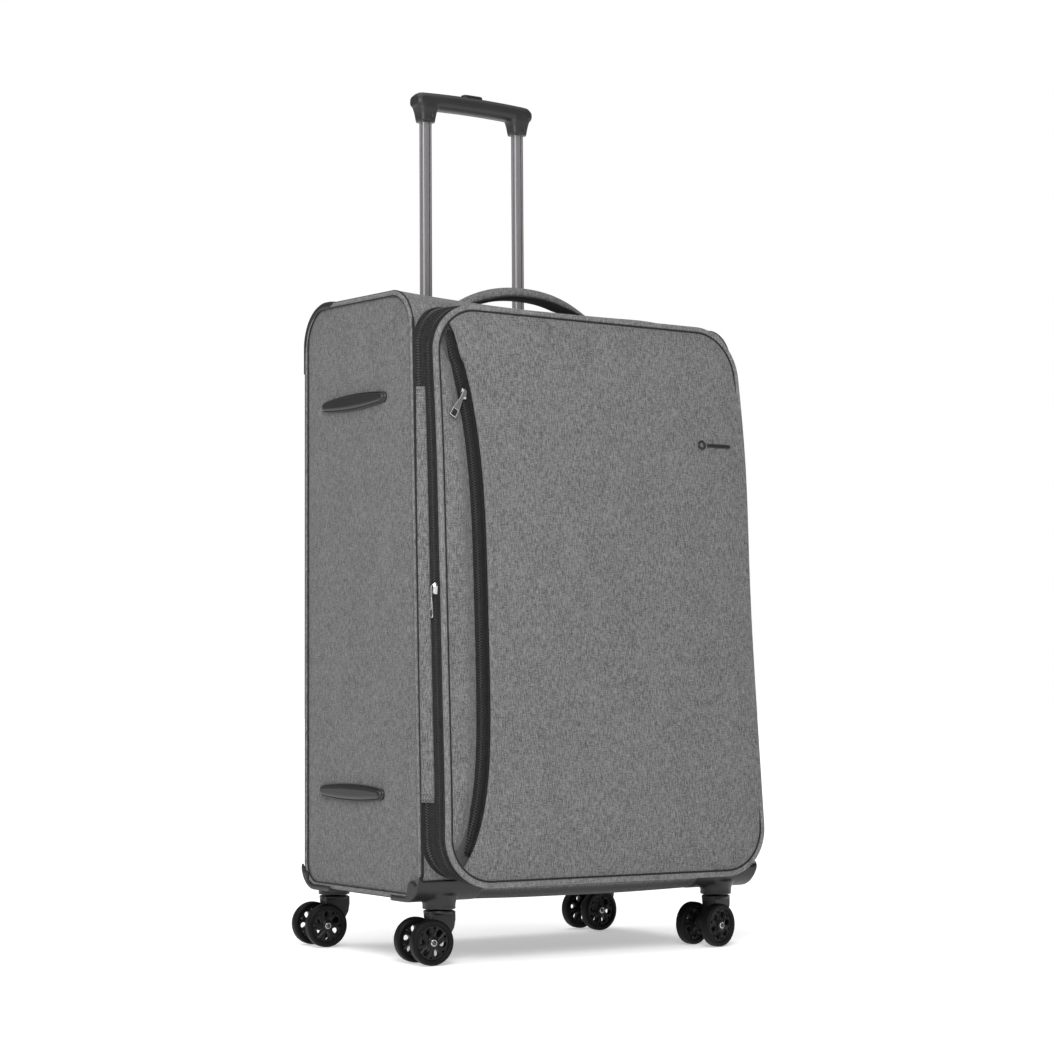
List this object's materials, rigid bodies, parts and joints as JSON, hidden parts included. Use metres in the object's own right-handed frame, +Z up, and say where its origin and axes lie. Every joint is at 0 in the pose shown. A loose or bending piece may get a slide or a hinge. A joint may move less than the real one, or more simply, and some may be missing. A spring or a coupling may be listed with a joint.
{
  "type": "softside upright suitcase",
  "caption": "Large softside upright suitcase with zipped lid, expander, front pocket, carry handles, pull-out trolley handle and twin-wheel swivel casters.",
  "frame": {"origin": "on the floor under the middle of the suitcase's box", "axes": "+X to the right seen from the front, front facing -Y, +Z up"},
  "size_m": [0.5039, 0.3473, 1.083],
  "materials": {
    "grey_fabric": "heathered mid-grey plain-weave polyester",
    "black_fabric": "black polyester tape and gusset cloth",
    "lining_fabric": "smooth dark grey lining",
    "black_plastic": "fine moulded satin black",
    "grip_plastic": "satin charcoal",
    "aluminium": "satin anodised gun grey",
    "steel": "plain drawn",
    "wheel_rubber": "matte black tyre and spokes",
    "zip_metal": "bright nickel",
    "badge_metal": "dark satin, blank"
  },
  "bodies": {
    "case": {"side_panel_left": "grey_fabric", "side_panel_right": "grey_fabric", "side_piping_left": "grey_fabric", "side_piping_right": "grey_fabric", "bottom_panel": "grey_fabric", "back_panel": "grey_fabric", "top_panel": "grey_fabric", "front_frame": "black_plastic", "corner_guard_left": "black_plastic", "corner_guard_right": "black_plastic", "side_foot_lower": "black_plastic", "side_foot_upper": "black_plastic", "trolley_bezel": "black_plastic", "outer_tube_left": "steel", "outer_tube_right": "steel", "tube_bracket": "black_plastic", "back_lining": "lining_fabric", "top_handle": "grey_fabric", "top_handle_anchor_first": "black_plastic", "top_handle_anchor_second": "black_plastic", "side_handle": "grey_fabric", "side_handle_anchor_first": "black_plastic", "side_handle_anchor_second": "black_plastic", "wheel_housing_front_left": "black_plastic", "wheel_housing_front_right": "black_plastic", "wheel_housing_rear_left": "black_plastic", "wheel_housing_rear_right": "black_plastic"},
    "expander": {"expander_band": "black_fabric", "expander_sleeve": "black_fabric", "side_strap": "grey_fabric"},
    "lid": {"lid_panel": "grey_fabric", "lid_piping": "grey_fabric", "pocket_flap": "grey_fabric", "badge": "badge_metal"},
    "main_slider": {"main_slider": "zip_metal"},
    "main_pull": {"main_pull": "zip_metal"},
    "pocket_slider": {"pocket_slider": "zip_metal"},
    "pocket_pull": {"pocket_pull": "zip_metal"},
    "trolley": {"inner_tube_left": "aluminium", "inner_tube_right": "aluminium", "guide_plug_left": "black_plastic", "guide_plug_right": "black_plastic", "grip": "grip_plastic"},
    "grip_button": {"grip_button": "black_plastic"},
    "caster_front_left": {"caster_fork_front_left": "black_plastic", "caster_axle_front_left": "steel"},
    "wheel_front_left_inner": {"wheel_front_left_inner": "wheel_rubber"},
    "wheel_front_left_outer": {"wheel_front_left_outer": "wheel_rubber"},
    "caster_front_right": {"caster_fork_front_right": "black_plastic", "caster_axle_front_right": "steel"},
    "wheel_front_right_inner": {"wheel_front_right_inner": "wheel_rubber"},
    "wheel_front_right_outer": {"wheel_front_right_outer": "wheel_rubber"},
    "caster_rear_left": {"caster_fork_rear_left": "black_plastic", "caster_axle_rear_left": "steel"},
    "wheel_rear_left_inner": {"wheel_rear_left_inner": "wheel_rubber"},
    "wheel_rear_left_outer": {"wheel_rear_left_outer": "wheel_rubber"},
    "caster_rear_right": {"caster_fork_rear_right": "black_plastic", "caster_axle_rear_right": "steel"},
    "wheel_rear_right_inner": {"wheel_rear_right_inner": "wheel_rubber"},
    "wheel_rear_right_outer": {"wheel_rear_right_outer": "wheel_rubber"}
  },
  "joints": [
    {"name": "expander_slide", "type": "slide", "parent": "case", "child": "expander", "axis": [0, -1, 0], "range_m": [0, 0.035]},
    {"name": "lid_hinge", "type": "hinge", "parent": "expander", "child": "lid", "pos_m": [0.24048, -0.15889, 0.09], "axis": [-0.0155, 0.0774, 0.9969], "range_deg": [0, 170]},
    {"name": "main_slider_slide", "type": "slide", "parent": "expander", "child": "main_slider", "axis": [0.0155, 0.0774, 0.9969], "range_m": [-0.26, 0.16]},
    {"name": "main_pull_hinge", "type": "hinge", "parent": "main_slider", "child": "main_pull", "pos_m": [-0.23246, -0.13364, 0.4306], "axis": [0, 1, 0], "range_deg": [0, 150]},
    {"name": "pocket_slider_slide", "type": "slide", "parent": "lid", "child": "pocket_slider", "axis": [0, 0.0774, 0.997], "range_m": [-0.4, 0.02]},
    {"name": "pocket_pull_hinge", "type": "hinge", "parent": "pocket_slider", "child": "pocket_pull", "pos_m": [-0.18405, -0.12854, 0.65809], "axis": [-0.848, 0.041, 0.5283], "range_deg": [0, 150]},
    {"name": "trolley_slide", "type": "slide", "parent": "case", "child": "trolley", "axis": [0, 0.0149, 0.9999], "range_m": [-0.255, 0]},
    {"name": "grip_button_press", "type": "slide", "parent": "trolley", "child": "grip_button", "axis": [0, -0.0149, -0.9999], "range_m": [0, 0.004], "stiffness_N_per_m": 600},
    {"name": "swivel_front_left", "type": "hinge", "parent": "case", "child": "caster_front_left", "pos_m": [-0.2004, -0.101, 0.06], "axis": [0, 0, 1], "continuous": true},
    {"name": "spin_front_left_inner", "type": "hinge", "parent": "caster_front_left", "child": "wheel_front_left_inner", "pos_m": [-0.21849, -0.0793, 0.02607], "axis": [-0.0764, -0.9971, 0], "continuous": true},
    {"name": "spin_front_left_outer", "type": "hinge", "parent": "caster_front_left", "child": "wheel_front_left_outer", "pos_m": [-0.22159, -0.11969, 0.02607], "axis": [-0.0764, -0.9971, 0], "continuous": true},
    {"name": "swivel_front_right", "type": "hinge", "parent": "case", "child": "caster_front_right", "pos_m": [0.2004, -0.101, 0.06], "axis": [0, 0, 1], "continuous": true},
    {"name": "spin_front_right_inner", "type": "hinge", "parent": "caster_front_right", "child": "wheel_front_right_inner", "pos_m": [0.17692, -0.08529, 0.02607], "axis": [0.208, -0.9781, 0], "continuous": true},
    {"name": "spin_front_right_outer", "type": "hinge", "parent": "caster_front_right", "child": "wheel_front_right_outer", "pos_m": [0.18534, -0.1249, 0.02607], "axis": [0.208, -0.9781, 0], "continuous": true},
    {"name": "swivel_rear_left", "type": "hinge", "parent": "case", "child": "caster_rear_left", "pos_m": [-0.2004, 0.1454, 0.06], "axis": [0, 0, 1], "continuous": true},
    {"name": "spin_rear_left_inner", "type": "hinge", "parent": "caster_rear_left", "child": "wheel_rear_left_inner", "pos_m": [-0.21839, 0.16718, 0.02607], "axis": [-0.0813, -0.9967, 0], "continuous": true},
    {"name": "spin_rear_left_outer", "type": "hinge", "parent": "caster_rear_left", "child": "wheel_rear_left_outer", "pos_m": [-0.22168, 0.12682, 0.02607], "axis": [-0.0813, -0.9967, 0], "continuous": true},
    {"name": "swivel_rear_right", "type": "hinge", "parent": "case", "child": "caster_rear_right", "pos_m": [0.2004, 0.1454, 0.06], "axis": [0, 0, 1], "continuous": true},
    {"name": "spin_rear_right_inner", "type": "hinge", "parent": "caster_rear_right", "child": "wheel_rear_right_inner", "pos_m": [0.17917, 0.16404, 0.02607], "axis": [0.0786, -0.9969, 0], "continuous": true},
    {"name": "spin_rear_right_outer", "type": "hinge", "parent": "caster_rear_right", "child": "wheel_rear_right_outer", "pos_m": [0.18235, 0.12366, 0.02607], "axis": [0.0786, -0.9969, 0], "continuous": true}
  ]
}
